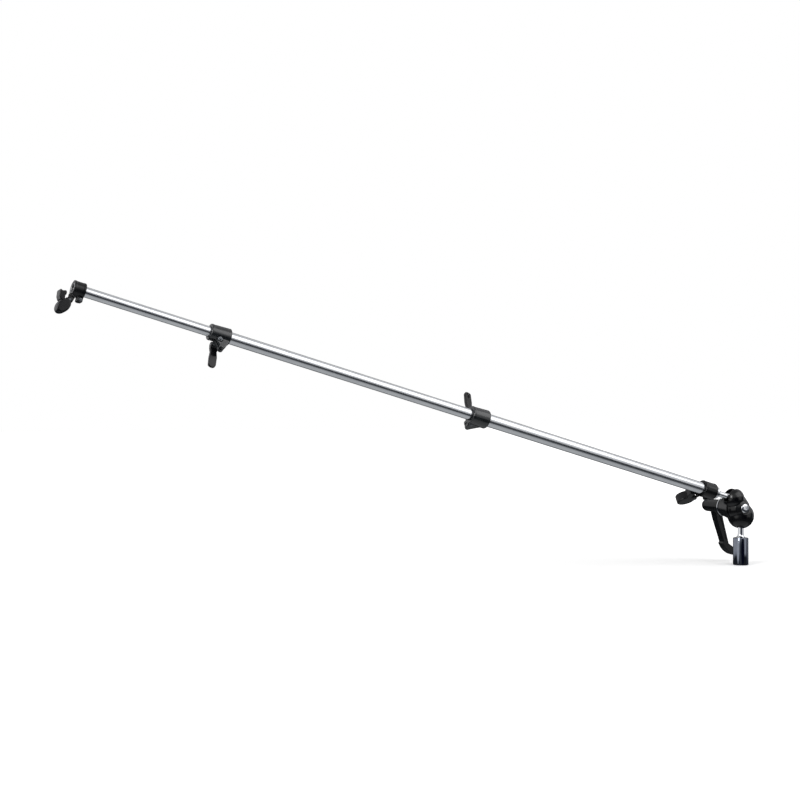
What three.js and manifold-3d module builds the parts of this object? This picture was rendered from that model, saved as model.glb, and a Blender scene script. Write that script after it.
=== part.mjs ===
// Telescopic holder arm: a spigot socket, a clamp head with two balls and one indexed lever,
// three sliding tubes with a cam lever lock at each joint, and a sprung clip at each end.
// Millimetres, +Z up. The origin is the centre of the socket's mouth, the arm reaches towards -X,
// and the clamp bolt runs along Y with its button head in front, at -Y.
import * as THREE from "three";
import { mergeVertices } from "three/addons/utils/BufferGeometryUtils.js";
import Module from "manifold-3d";

const wasm = await Module();
wasm.setup();

// Clearances and cuts
const seatGap = 0.3; // between two pieces that sit on each other
const runGap = 0.3; // round a piece that turns or slides in another
const cutOver = 2; // how far a cut runs past the face that it opens
const weldStep = 1e-4;

// Sides of round shapes
const bigSides = 24;
const midSides = 18;
const smallSides = 10;
const wireSides = 5;
const hexSides = 6;
const ribbonSteps = 9;
const capSteps = 5;
const stepsACurl = 8;

// Attitude of the head, the arm and the side screw, in degrees
const headLean = 27;
const armRise = 15.6;
const screwTurn = 40;

// Spigot socket and its side screw
const socketRadius = 14.25;
const socketHeight = 50;
const socketChamfer = 0.8;
const spigotBoreRadius = 8.1;
const spigotBoreDepth = 37;
const screwHeight = 17;
const screwRadius = 3;
const screwKnobRadius = 7.5;
const screwKnobLength = 13;
const screwKnobGrip = 0.7;
const screwKnobGrips = 12;

// Balls and their studs
const ballRadius = 10;
const neckRadius = 5.4;
const lowerBallHeight = 91.4;
const ballSpacing = 36;
const studShankRadius = 4;
const studShankLength = 9;
const studBaseRadius = 8;
const studBaseHeight = 1.6;
const studConeHeight = 5;

// Clamp housing, in the head's own frame: its Z runs from the lower ball to the upper one
const lowerLobeRadius = 24.5;
const upperLobeRadius = 19.5;
const waistLowRadius = 20.4;
const waistHighRadius = 16.4;
const waistLowHeight = 8;
const waistHighHeight = 31;
const splitGap = 0.6;
const boltHeight = 16.5;
const boltRadius = 2.5;
const boltHeadRadius = 8.5;
const boltHeadHeight = 2.8;
const boltHeadShares = [[0.5, 0.95], [0.85, 0.7], [1, 0.45]]; // of the head's radius and height
const boltSocketRadius = 2.4;
const boltSocketDepth = 1.8;
const housingFront = 20.4;
const housingBack = 36;
const frontSpotRadius = 10;
const frontBossRadius = 23.4; // at the split
const frontBossShares = [[0.98, 0.47], [0.7, 0.73], [0.34, 0.92], [0, 1]]; // of depth and radius
const backBossRadius = 18;
const backBossRoot = 26.5; // the boss widens to this at the split
const backBossRound = 2;
const lowerMouthAngle = 39;
const upperMouthAngle = 60;
const mouthGap = 0.6;
const pocketRadius = 4.5;
const pocketDepth = 6;
const housingWire = 0.9;
const housingCoilRadius = 3.6;
const housingCurls = 5;

// Clamp lever stack along the bolt
const washerRadius = 18.4;
const washerThickness = 2;
const insertFlangeRadius = 8;
const insertFlangeHeight = 2.4;
const toothRootRadius = 5.7;
const toothTipRadius = 6.6;
const toothHeight = 4;
const toothCount = 12;
const toothGap = 0.35;
const insertShankRadius = 4.6;
const insertShankLength = 13;
const handleBoreRadius = 7;
const capScrewHeadHeight = 3;
const leverWire = 1.1;
const leverCoilRadius = 5.8;
const leverCurls = 5;
const hubBaseRadius = 12.8;
const hubTopRadius = 11.8;
const hubLength = 45.5;
const capHeight = 11.5;
const capPlugLength = 8;
const armThickness = 14;
const armFromBase = 17;
const armRootHalf = 9;
const armReach = 46;
const armDrop = 91;
const armRound = 2.2;
// Stations of the lever's arm and foot, as shares of its reach, its drop and the root's half width
const armShares = [[0, 0, 1], [0.1, 0.24, 0.85], [0.28, 0.52, 0.7], [0.46, 0.8, 0.6]];
const footShares = [[0.3, 0.76, 0.35], [0.5, 0.85, 0.72], [0.75, 0.94, 0.78], [1.05, 1, 0.6]];

// Tubes: each slides in the bore of the next larger one
const tubeClearance = 0.4;
const outerTubeRadius = 11;
const outerTubeWall = 1.1;
const middleTubeRadius = outerTubeRadius - outerTubeWall - tubeClearance;
const middleTubeWall = 1.1;
const innerTubeRadius = middleTubeRadius - middleTubeWall - tubeClearance;
const innerTubeWall = 1;

// Places along the arm: the first is from the upper ball, the others from lock to lock
const outerTubeStart = 47.3;
const outerTubeShown = 525.7;
const middleTubeShown = 481.5;
const innerTubeShown = 238;
const middleTubeHidden = 63; // inside the thick tube
const innerTubeHidden = 284.5; // inside the middle tube
const plugFlangeThickness = 4.5;
const plugInsertLength = 11;
const bushLength = 10;
const bushSpigotLength = 15;
const tipPlugLength = 12;

// Tube locks, the same for both but for the table below
const lockLength = 33;
const lockRingLength = 5; // the closed ring at the base end, that the slit leaves whole
const lockStep = 5; // from the middle of the collar back to the end of the larger tube
const lockChamfer = 0.7;
const lockTaper = 1.3; // how much thinner the collar is at its tip end
const slitWidth = 2.4;
const earThickness = 6;
const earDrop = 9;
const earRound = 4.6;
const lockBoltRadius = 2.5;
const lockBoltWall = 1.2;
const lockNutRadius = 4.6;
const lockNutHeight = 3.5;
const lockNutSink = 2.6;
const boltTail = 1.4;
const camWasherThickness = 1.5;
const camWasherRadius = 5.6;
const camRadius = 4.7;
const camOffset = 0.5;
const pinRadius = 1.5;
const eyeRadius = 3.5;
const eyeHalfWidth = 2.4;
const cheekHalfWidth = 6.4;
const leverNeckHalf = 5;
const leverPaddleHalf = 6.2;
const leverThickness = 4.6;
const leverBend = 3.2;

// Each lock: wall, turn about the tube, lever, how far its bolt is ahead of the middle, and how far
// its ear sweeps back below the bolt
const outerLock = { name: "outer_lock", wall: 5, turn: -50, lever: 47, open: 90, boltAhead: 6, sweep: 0 };
const middleLock = { name: "middle_lock", wall: 4.4, turn: 30, lever: 38, open: 0, boltAhead: 1, sweep: 6 };
outerLock.at = outerTubeStart + outerTubeShown;
middleLock.at = outerLock.at + middleTubeShown;
const middleTubeStart = outerLock.at - middleTubeHidden;
const innerTubeStart = middleLock.at - innerTubeHidden;

// Clips, the same for both but for the table below
const clipWall = 4.1;
const clipChamfer = 0.6;
const clipSlitWidth = 2;
const clipEarLength = 9;
const clipEarHalfDepth = 6;
const clipEarDrop = 6;
const clipScrewRadius = 1.6;
const clipScrewHeadRadius = 3;
const clipScrewHeadHeight = 2.2;
const clipNutRadius = 3;
const clipNutHeight = 2.4;
const hingeDrop = 7.2; // from the collar's surface down to the jaw's pin
const hingeAhead = 1;
const lugRadius = 5.4;
const lugInner = 3.4;
const lugOuter = 5.9;
const lugNeckLength = 9;
const jawHalfWidth = 9;
const jawPinRadius = 1.9;
const jawKnuckleRadius = 4.7;
const jawClearRadius = 8;
const jawGap = 9;
const hornHeight = 11.6;
const hornThickness = 9.5;
const hornDip = 1.8;
const jawRound = 2.4;
const padThickness = 1.3;
const padHalfWidth = 6;
const padHeight = 5;
const padDrop = 1.6; // below the collar's surface
const lugDrop = 3;
const jawSpringWire = 1;
const jawCoilRadius = 3.1;
const jawPitch = 1.5;
const jawCurls = 3.25;
const jawSpringLeg = 3.6;
const nearClipInset = 4; // from the thick tube's end to the clip's collar

// Each clip: its collar's length and turn about the tube, its thumb blade's half length, half width
// and middle, the angle that the blade droops by, and where the collar ends along the arm
const nearClip = { name: "near_clip", length: 28, turn: -50, blade: 17, wide: 10, reach: 15.5, droop: 50 };
const farClip = { name: "far_clip", length: 18.5, turn: 6, blade: 12.8, wide: 8.8, reach: 12.6, droop: 60 };
nearClip.tip = outerTubeStart + nearClipInset + nearClip.length;
farClip.tip = middleLock.at + innerTubeShown;

// Finishes
const finish = (color, roughness, metalness) => () =>
  new THREE.MeshStandardMaterial({ color, roughness, metalness });
const anodised = finish(0xb4b7bb, 0.38, 0.9);
const chrome = finish(0xd9dbde, 0.12, 1);
const blackGloss = finish(0x101216, 0.25, 0.1);
const blackPlastic = finish(0x1c1e22, 0.5, 0);
const steel = finish(0x9a9da1, 0.35, 1);
const brass = finish(0xb08d4c, 0.35, 1);
const rubber = finish(0x151515, 0.9, 0);
const nylon = finish(0xd8d6cf, 0.6, 0);

const radians = THREE.MathUtils.degToRad;

// A closed geometry as a solid that can be joined and cut.
function solidOf(geometry) {
  const bare = geometry.clone();
  for (const name of Object.keys(bare.attributes)) {
    if (name !== "position") bare.deleteAttribute(name);
  }
  const merged = mergeVertices(bare, weldStep);
  const index = merged.index.array;
  const corners = [];
  for (let i = 0; i < index.length; i += 3) {
    const [a, b, c] = index.slice(i, i + 3);
    if (a !== b && b !== c && c !== a) corners.push(a, b, c);
  }
  const vertProperties = merged.attributes.position.array;
  return new wasm.Manifold(
    new wasm.Mesh({ numProp: 3, vertProperties, triVerts: new Uint32Array(corners) }),
  );
}

function geometryOf(solid) {
  const mesh = solid.getMesh();
  const geometry = new THREE.BufferGeometry();
  geometry.setAttribute("position", new THREE.BufferAttribute(mesh.vertProperties, 3));
  geometry.setIndex(new THREE.BufferAttribute(mesh.triVerts, 1));
  geometry.computeVertexNormals();
  return geometry;
}

// Turns a shape made along Z, with its outline in XY, to run along another axis.
const turns = {
  x: new THREE.Matrix4().makeBasis(
    new THREE.Vector3(0, 1, 0),
    new THREE.Vector3(0, 0, 1),
    new THREE.Vector3(1, 0, 0),
  ),
  y: new THREE.Matrix4().makeBasis(
    new THREE.Vector3(1, 0, 0),
    new THREE.Vector3(0, 0, 1),
    new THREE.Vector3(0, -1, 0),
  ),
  z: new THREE.Matrix4(),
};

// A solid turned about an axis. The profile is [radius, place along the axis], from low to high.
function turned(profile, axis, sides = bigSides) {
  const points = profile.map(([radius, place]) => new THREE.Vector2(radius, place));
  const geometry = new THREE.LatheGeometry(points, sides);
  geometry.rotateX(Math.PI / 2);
  if (axis === "x") geometry.rotateY(Math.PI / 2);
  if (axis === "y") geometry.rotateX(-Math.PI / 2);
  return solidOf(geometry);
}

function rod(radius, from, to, axis, sides = midSides) {
  return turned([[0, from], [radius, from], [radius, to], [0, to]], axis, sides);
}

function chamferedRod(radius, chamfer, from, to, axis, sides = bigSides) {
  const profile = [
    [0, from],
    [radius - chamfer, from],
    [radius, from + chamfer],
    [radius, to - chamfer],
    [radius - chamfer, to],
    [0, to],
  ];
  return turned(profile, axis, sides);
}

function pipe(outer, inner, from, to, axis, sides = bigSides) {
  const profile = [[inner, from], [outer, from], [outer, to], [inner, to], [inner, from]];
  return turned(profile, axis, sides);
}

function ball(radius, sides = midSides) {
  const geometry = new THREE.SphereGeometry(radius, sides, sides / 2);
  geometry.rotateX(Math.PI / 2);
  return solidOf(geometry);
}

function block(low, high) {
  const size = high.map((value, i) => value - low[i]);
  const geometry = new THREE.BoxGeometry(...size);
  geometry.translate(...high.map((value, i) => (value + low[i]) / 2));
  return solidOf(geometry);
}

// An outline run along an axis. Along Y the outline is [x, z], along X it is [y, z].
function plate(points, from, to, axis, round = 0) {
  const shape = new THREE.Shape(points.map(([a, b]) => new THREE.Vector2(a, b)));
  const bevel = { bevelEnabled: round > 0, bevelSegments: 2, bevelSize: round, bevelOffset: -round };
  const depth = to - from - 2 * round;
  const geometry = new THREE.ExtrudeGeometry(shape, { depth, bevelThickness: round, ...bevel });
  geometry.translate(0, 0, round + (axis === "y" ? -to : from));
  geometry.applyMatrix4(turns[axis]);
  return solidOf(geometry);
}

// Points on an arc about a centre, with angles in degrees from the first axis of the outline.
function arc([x, y], radius, fromAngle, toAngle, steps) {
  const points = [];
  for (let i = 0; i <= steps; i += 1) {
    const angle = radians(fromAngle + ((toAngle - fromAngle) * i) / steps);
    points.push([x + radius * Math.cos(angle), y + radius * Math.sin(angle)]);
  }
  return points;
}

// The outline of a bar of changing width along a curve: stations are [x, z, half width].
function ribbon(stations) {
  const middle = new THREE.CatmullRomCurve3(stations.map(([x, z]) => new THREE.Vector3(x, z, 0)));
  const widths = new THREE.CatmullRomCurve3(
    stations.map(([x, z, half]) => new THREE.Vector3(half, x, z)),
  );
  const left = [];
  const right = [];
  for (let i = 0; i <= ribbonSteps; i += 1) {
    const share = i / ribbonSteps;
    const here = middle.getPoint(share);
    const ahead = middle.getTangent(share);
    const half = widths.getPoint(share).x;
    left.push([here.x - ahead.y * half, here.y + ahead.x * half]);
    right.unshift([here.x + ahead.y * half, here.y - ahead.x * half]);
  }
  return [...right, ...left];
}

// Solids joined into one, and a body with tools cut from it.
const joined = (first, ...rest) => rest.reduce((all, next) => all.add(next), first);
const cut = (body, ...tools) => tools.reduce((all, tool) => all.subtract(tool), body);

// A wire of round section through a list of points, with both ends closed.
function wire(points, radius) {
  const places = [];
  const ring = (centre, side, up) => {
    for (let k = 0; k < wireSides; k += 1) {
      const angle = (2 * Math.PI * k) / wireSides;
      const spoke = side.clone().multiplyScalar(radius * Math.cos(angle));
      spoke.addScaledVector(up, radius * Math.sin(angle));
      places.push(...centre.clone().add(spoke).toArray());
    }
  };
  let side = null;
  points.forEach((centre, i) => {
    const before = points[Math.max(i - 1, 0)];
    const after = points[Math.min(i + 1, points.length - 1)];
    const ahead = after.clone().sub(before).normalize();
    const guess = side ?? new THREE.Vector3(0, 1, 0).cross(ahead);
    side = guess.clone().addScaledVector(ahead, -guess.dot(ahead)).normalize();
    ring(centre, side, ahead.clone().cross(side));
  });
  const corners = [];
  for (let i = 0; i + 1 < points.length; i += 1) {
    for (let k = 0; k < wireSides; k += 1) {
      const next = (k + 1) % wireSides;
      const [a, b] = [i * wireSides + k, i * wireSides + next];
      corners.push(a, b, b + wireSides, a, b + wireSides, a + wireSides);
    }
  }
  const last = (points.length - 1) * wireSides;
  for (let k = 1; k + 1 < wireSides; k += 1) {
    corners.push(0, k + 1, k, last, last + k, last + k + 1);
  }
  const geometry = new THREE.BufferGeometry();
  geometry.setAttribute("position", new THREE.Float32BufferAttribute(places, 3));
  geometry.setIndex(corners);
  return solidOf(geometry);
}

// The points of a coil about Y, from one end to the other.
function coil(radius, curls, pitch, startAngle = 0) {
  const points = [];
  const steps = Math.round(curls * stepsACurl);
  for (let i = 0; i <= steps; i += 1) {
    const angle = radians(startAngle) + (2 * Math.PI * i) / stepsACurl;
    const along = (pitch * i) / stepsACurl - (pitch * curls) / 2;
    points.push(new THREE.Vector3(radius * Math.cos(angle), along, radius * Math.sin(angle)));
  }
  return points;
}

// The least clear space between two parts of a wire that are half a curl or more apart.
function leastGap(points, radius) {
  let least = Infinity;
  const apart = stepsACurl / 2;
  for (let i = 0; i < points.length; i += 1) {
    for (let j = i + apart; j < points.length; j += 1) {
      least = Math.min(least, points[i].distanceTo(points[j]));
    }
  }
  return least - 2 * radius;
}

function spring(name, points, wireThickness) {
  const gap = leastGap(points, wireThickness / 2);
  console.log(`${name}: least gap to itself ${gap.toFixed(2)} mm`);
  return wire(points, wireThickness / 2);
}

function piece(name, solid, material) {
  const mesh = new THREE.Mesh(geometryOf(solid), material());
  mesh.name = name;
  return mesh;
}

// A star of teeth round the Y axis, as an outline in XZ.
function toothedOutline(root, tip) {
  const points = [];
  for (let i = 0; i < 2 * toothCount; i += 1) {
    const angle = (Math.PI * i) / toothCount;
    const radius = i % 2 ? tip : root;
    points.push([radius * Math.cos(angle), radius * Math.sin(angle)]);
  }
  return points;
}

// Where a stud's neck meets the flat of its ball, measured from the ball's centre
const ballFlat = Math.sqrt(ballRadius ** 2 - neckRadius ** 2);

// Spigot socket
function spigotSocket() {
  const body = chamferedRod(socketRadius, socketChamfer, 0, socketHeight, "z");
  const bore = rod(spigotBoreRadius, -cutOver, spigotBoreDepth, "z");
  const shankEnd = socketHeight - studShankLength - seatGap;
  const shankHole = rod(studShankRadius + runGap, shankEnd, socketHeight + cutOver, "z");
  const side = rod(screwRadius + runGap, 0, socketRadius + cutOver, "y", smallSides);
  const sideHole = side.rotate([0, 0, -screwTurn]).translate([0, 0, screwHeight]);
  return piece("spigot_socket", cut(body, bore, shankHole, sideHole), blackGloss);
}

function socketScrew() {
  const shankEnd = socketRadius + seatGap;
  const shank = rod(screwRadius, spigotBoreRadius + seatGap, shankEnd + cutOver, "y", smallSides);
  const lobes = [];
  for (let i = 0; i < 2 * screwKnobGrips; i += 1) {
    const angle = (Math.PI * i) / screwKnobGrips;
    const radius = screwKnobRadius - (i % 2 ? screwKnobGrip : 0);
    lobes.push([radius * Math.cos(angle), radius * Math.sin(angle)]);
  }
  const knob = plate(lobes, shankEnd, shankEnd + screwKnobLength, "y");
  const mesh = piece("socket_screw", joined(knob, shank), blackPlastic);
  mesh.rotation.z = radians(-screwTurn);
  mesh.position.z = screwHeight;
  return mesh;
}

// Ball studs. The lower one stands on the socket, the upper one lies along the arm.
function lowerStud() {
  const seat = socketHeight + seatGap;
  const profile = [
    [0, socketHeight - studShankLength],
    [studShankRadius, socketHeight - studShankLength],
    [studShankRadius, seat],
    [studBaseRadius, seat],
    [studBaseRadius, seat + studBaseHeight],
    [neckRadius, seat + studBaseHeight + studConeHeight],
    [neckRadius, lowerBallHeight - ballFlat - seatGap],
    [0, lowerBallHeight - ballFlat - seatGap],
  ];
  return piece("lower_stud", turned(profile, "z", midSides), chrome);
}

// A ball with a flat where its neck stands, facing -Z.
function flattedBall(name) {
  const far = ballRadius + cutOver;
  const flat = block([-far, -far, -far], [far, far, -ballFlat]);
  return piece(name, cut(ball(ballRadius), flat), chrome);
}

// The slot that a neck swings through, about the centre of its ball, opening towards -Z.
function mouth(reach, angle) {
  const half = neckRadius + mouthGap;
  const steps = 6;
  const low = -90 - angle;
  const high = -90 + angle;
  const edge = (degrees, sign) => [
    -Math.sin(radians(degrees)) * half * sign,
    Math.cos(radians(degrees)) * half * sign,
  ];
  const far = (degrees, sign) => {
    const [x, z] = edge(degrees, sign);
    return [x + Math.cos(radians(degrees)) * reach, z + Math.sin(radians(degrees)) * reach];
  };
  const outline = [
    edge(low, -1),
    far(low, -1),
    ...arc([0, 0], reach, low, high, steps).slice(1, -1),
    far(high, 1),
    edge(high, 1),
  ];
  return plate(outline, -half, half, "y");
}

// The housing's outer form, with both cavities, both mouths and the bolt's hole.
function housingBody() {
  const lobe = (radius, height) => ball(radius, bigSides).translate([0, 0, height]);
  const waist = turned(
    [
      [0, waistLowHeight],
      [waistLowRadius, waistLowHeight],
      [waistHighRadius, waistHighHeight],
      [0, waistHighHeight],
    ],
    "z",
  );
  const raise = (solid) => solid.translate([0, 0, boltHeight]);
  const front = frontBossShares.map(([deep, out]) => [frontBossRadius * out, -housingFront * deep]);
  const spot = raise(turned([[0, -housingFront], ...front, [0, 0]], "y"));
  const bossProfile = [
    [0, 0],
    [backBossRoot, 0],
    [backBossRadius, housingBack - backBossRound],
    [backBossRadius - backBossRound, housingBack],
    [0, housingBack],
  ];
  const boss = raise(turned(bossProfile, "y"));
  return joined(lobe(lowerLobeRadius, 0), lobe(upperLobeRadius, ballSpacing), waist, spot, boss);
}

function housingCuts() {
  const cavity = ball(ballRadius + runGap);
  const reach = lowerLobeRadius + cutOver;
  const upperMouth = mouth(reach, upperMouthAngle).rotate([0, 180, 0]);
  const hole = rod(boltRadius + runGap, -housingFront - cutOver, housingBack + cutOver, "y");
  const pocket = rod(pocketRadius, -pocketDepth, pocketDepth, "y");
  const seat = rod(frontSpotRadius, -reach, -housingFront, "y");
  return [
    cavity,
    cavity.translate([0, 0, ballSpacing]),
    mouth(reach, lowerMouthAngle),
    upperMouth.translate([0, 0, ballSpacing]),
    hole.translate([0, 0, boltHeight]),
    pocket.translate([0, 0, boltHeight]),
    seat.translate([0, 0, boltHeight]),
  ];
}

function housingHalves() {
  const whole = cut(housingBody(), ...housingCuts());
  const far = ballSpacing + lowerLobeRadius + housingBack;
  const front = block([-far, splitGap / -2, -far], [far, far, far]);
  const back = block([-far, -far, -far], [far, splitGap / 2, far]);
  return [
    piece("housing_front", cut(whole, front), blackGloss),
    piece("housing_back", cut(whole, back), blackGloss),
  ];
}

// Pieces on the clamp bolt, in a frame whose Y is the bolt's axis
const washerFace = housingBack + seatGap;
const insertFace = washerFace + washerThickness + seatGap;
const handleFace = insertFace + seatGap;
const toothStart = insertFace + insertFlangeHeight;
const toothEnd = toothStart + toothHeight;
const insertEnd = toothEnd + insertShankLength;
const hubEnd = handleFace + hubLength;

function clampBolt() {
  const seat = -housingFront - seatGap;
  const profile = [
    [0, seat - boltHeadHeight],
    ...boltHeadShares.map(([out, up]) => [boltHeadRadius * out, seat - boltHeadHeight * up]),
    [boltHeadRadius, seat],
    [boltRadius, seat],
    [boltRadius, toothEnd + insertShankLength / 3],
    [0, toothEnd + insertShankLength / 3],
  ];
  const body = turned(profile, "y", midSides);
  const deep = seat - boltHeadHeight + boltSocketDepth;
  const drive = rod(boltSocketRadius, seat - boltHeadHeight - cutOver, deep, "y", hexSides);
  return piece("clamp_bolt", cut(body, drive), chrome);
}

function housingSpring() {
  const clear = pocketDepth - seatGap - housingWire / 2;
  const points = coil(housingCoilRadius, housingCurls, (2 * clear) / housingCurls);
  return piece("housing_spring", spring("housing_spring", points, housingWire), steel);
}

function clampWasher() {
  const inner = boltRadius + runGap;
  const ring = pipe(washerRadius, inner, washerFace, washerFace + washerThickness, "y");
  return piece("clamp_washer", ring, chrome);
}

function leverInsert() {
  const flange = rod(insertFlangeRadius, insertFace, toothStart, "y");
  const teeth = plate(toothedOutline(toothRootRadius, toothTipRadius), toothStart, toothEnd, "y");
  const shank = rod(insertShankRadius, toothStart, insertEnd, "y");
  const bore = rod(boltRadius + runGap, insertFace - cutOver, insertEnd + cutOver, "y");
  return piece("lever_insert", cut(joined(flange, teeth, shank), bore), brass);
}

function leverScrew() {
  const headFace = insertEnd + seatGap;
  const headRadius = handleBoreRadius - runGap;
  const head = rod(headRadius, headFace, headFace + capScrewHeadHeight, "y");
  const shank = rod(boltRadius, insertEnd - insertShankLength / 2, headFace + seatGap, "y");
  const deep = headFace + capScrewHeadHeight / 2;
  const drive = rod(boltSocketRadius, deep, headFace + capScrewHeadHeight + cutOver, "y", hexSides);
  return piece("lever_screw", cut(joined(head, shank), drive), steel);
}

function leverSpring() {
  const low = toothEnd + 2 * seatGap + leverWire / 2;
  const high = insertEnd - leverWire / 2;
  const points = coil(leverCoilRadius, leverCurls, (high - low) / leverCurls);
  const middle = new THREE.Vector3(0, (low + high) / 2, 0);
  points.forEach((point) => point.add(middle));
  return piece("lever_spring", spring("lever_spring", points, leverWire), steel);
}

function leverHandle() {
  const hub = turned(
    [[0, handleFace], [hubBaseRadius, handleFace], [hubTopRadius, hubEnd], [0, hubEnd]],
    "y",
  );
  const from = handleFace + armFromBase;
  const lines = [armShares, footShares].map((shares) =>
    ribbon(shares.map(([out, down, half]) => [armReach * out, -armDrop * down, armRootHalf * half])),
  );
  const bars = lines.map((line) => plate(line, from, from + armThickness, "y", armRound));
  const recess = rod(insertFlangeRadius + runGap, handleFace - cutOver, toothStart + seatGap, "y");
  const star = toothedOutline(toothRootRadius + toothGap, toothTipRadius + toothGap);
  const teeth = plate(star, toothStart, toothEnd + 2 * seatGap, "y");
  const bore = rod(handleBoreRadius, toothEnd + seatGap, hubEnd + cutOver, "y");
  const solid = cut(joined(hub, ...bars), recess, teeth, bore);
  return piece("lever_handle", solid, blackPlastic);
}

function leverCap() {
  const seat = hubEnd + seatGap;
  const profile = [
    [0, seat - capPlugLength],
    [handleBoreRadius - runGap, seat - capPlugLength],
    [handleBoreRadius - runGap, seat],
    [hubTopRadius, seat],
  ];
  for (let i = 1; i < capSteps; i += 1) {
    const angle = (Math.PI * i) / (2 * capSteps);
    profile.push([hubTopRadius * Math.cos(angle), seat + capHeight * Math.sin(angle)]);
  }
  profile.push([0, seat + capHeight]);
  return piece("lever_cap", turned(profile, "y"), blackPlastic);
}

// Tubes and what is inside them, along X from the upper ball
const outerBore = outerTubeRadius - outerTubeWall;
const middleBore = middleTubeRadius - middleTubeWall;
const innerBore = innerTubeRadius - innerTubeWall;

function upperStud() {
  const flangeFace = outerTubeStart - seatGap - plugFlangeThickness;
  const profile = [
    [0, ballFlat + seatGap],
    [neckRadius, ballFlat + seatGap],
    [neckRadius, flangeFace - seatGap],
    [studShankRadius, flangeFace - seatGap],
    [studShankRadius, flangeFace + plugInsertLength],
    [0, flangeFace + plugInsertLength],
  ];
  return piece("upper_stud", turned(profile, "x", midSides), chrome);
}

function endPlug() {
  const face = outerTubeStart - seatGap;
  const flange = chamferedRod(outerTubeRadius, clipChamfer, face - plugFlangeThickness, face, "x");
  const insert = rod(outerBore - seatGap, face - clipChamfer, face + plugInsertLength, "x", bigSides);
  const hole = rod(studShankRadius + runGap, 0, face + plugInsertLength + cutOver, "x");
  return piece("end_plug", cut(joined(flange, insert), hole), anodised);
}

// The places where the two larger tubes end, inside their locks
const outerTubeEnd = outerLock.at - lockStep - seatGap;
const middleTubeEnd = middleLock.at - lockStep - seatGap;
const innerTubeEnd = farClip.tip - seatGap;

function tube(name, radius, wall, from, to) {
  return piece(name, pipe(radius, radius - wall, from, to, "x"), anodised);
}

// A plain bush behind a tube's base end, which guides it in the next larger tube.
function bush(name, bore, spigotBore, start) {
  const end = start - seatGap;
  const ring = rod(bore - runGap, end - bushLength, end, "x", bigSides);
  const spigot = rod(spigotBore - seatGap, end - seatGap, end + bushSpigotLength, "x", bigSides);
  const hole = rod(spigotBore / 2, end - bushLength - cutOver, end + bushSpigotLength + cutOver, "x");
  return piece(name, cut(joined(ring, spigot), hole), nylon);
}

function tipPlug() {
  const end = innerTubeEnd;
  return piece("tip_plug", rod(innerBore - seatGap, end - tipPlugLength, end, "x"), blackPlastic);
}

// A tube lock about X: its ears hang down, and its lever sits behind them, at -Y.
function tubeLock({ name, at, wall, turn, lever, open, boltAhead, sweep }, largeRadius, smallRadius) {
  const radius = largeRadius + wall;
  const half = lockLength / 2;
  const boltDrop = smallRadius + runGap + lockBoltWall + lockBoltRadius + runGap;
  const earFace = slitWidth / 2 + earThickness;
  const earEnd = radius + earDrop;
  const washerSeat = earFace + seatGap;
  const camSeat = washerSeat + camWasherThickness + seatGap;
  const pinPlace = camSeat + camRadius + camOffset;
  const group = new THREE.Group();
  group.position.x = at;
  group.rotation.x = radians(turn);
  const add = (part, solid, material) => group.add(piece(`${name}_${part}`, solid, material));
  const boltHole = rod(lockBoltRadius + runGap, -radius * 2, radius * 2, "y", smallSides);

  const tipRadius = radius - lockTaper;
  const barrelProfile = [
    [0, -half],
    [radius - lockChamfer, -half],
    [radius, -half + lockChamfer],
    [tipRadius, half - lockChamfer],
    [tipRadius - lockChamfer, half],
    [0, half],
  ];
  const barrel = turned(barrelProfile, "x");
  const earPoints = [
    [boltAhead + earRound + sweep / 2, -radius / 2],
    ...arc([boltAhead - sweep, -earEnd], earRound, 0, -150, 6),
    [-half + lockChamfer, -radius * 0.8],
    [-half + lockChamfer, -radius / 2],
  ];
  const ears = plate(earPoints, -earFace, earFace, "y", lockChamfer);
  const largeBore = rod(largeRadius + runGap, -half - cutOver, -lockStep, "x", bigSides);
  const smallBore = rod(smallRadius + runGap, -half - cutOver, half + cutOver, "x", bigSides);
  const slit = block(
    [-half + lockRingLength, -slitWidth / 2, -earEnd - earRound - cutOver],
    [half + cutOver, slitWidth / 2, 0],
  );
  const nutSeat = earFace - lockNutSink;
  const sink = rod(lockNutRadius + runGap, nutSeat, earFace + cutOver, "y");
  const drop = (solid) => solid.translate([boltAhead, 0, -boltDrop]);
  const seatHalf = cheekHalfWidth + runGap;
  const leverSeat = block(
    [boltAhead - seatHalf, -radius - cutOver, -earEnd - earRound - cutOver],
    [boltAhead + seatHalf, -earFace, -boltDrop + camWasherRadius + runGap],
  );
  const bores = [largeBore, smallBore, slit, drop(boltHole), drop(sink)];
  const collar = cut(joined(barrel, ears), ...bores, leverSeat);
  add("collar", collar, blackPlastic);

  const nutFace = nutSeat + seatGap;
  const nut = rod(lockNutRadius, nutFace, nutFace + lockNutHeight, "y", hexSides);
  add("nut", drop(cut(nut, boltHole)), steel);

  const eye = rod(eyeRadius, -eyeHalfWidth, eyeHalfWidth, "x").translate([0, -pinPlace, 0]);
  const shank = rod(lockBoltRadius, -pinPlace, nutFace + lockNutHeight + boltTail, "y", smallSides);
  const pinHole = rod(pinRadius + runGap, -radius, radius, "x", smallSides);
  const atPin = (solid) => solid.translate([0, -pinPlace, 0]);
  add("bolt", drop(cut(joined(eye, shank), atPin(pinHole))), steel);

  const washer = rod(camWasherRadius, -washerSeat - camWasherThickness, -washerSeat, "y");
  add("washer", drop(cut(washer, boltHole)), steel);

  const pin = rod(pinRadius, -cheekHalfWidth - seatGap, cheekHalfWidth + seatGap, "x", smallSides);
  add("pin", drop(atPin(pin)), steel);

  const handle = new THREE.Group();
  handle.position.set(boltAhead, -pinPlace, -boltDrop);
  handle.rotation.x = radians(-open);
  handle.add(piece(`${name}_lever`, lockLever(lever, pinHole), blackPlastic));
  group.add(handle);
  return group;
}

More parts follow.
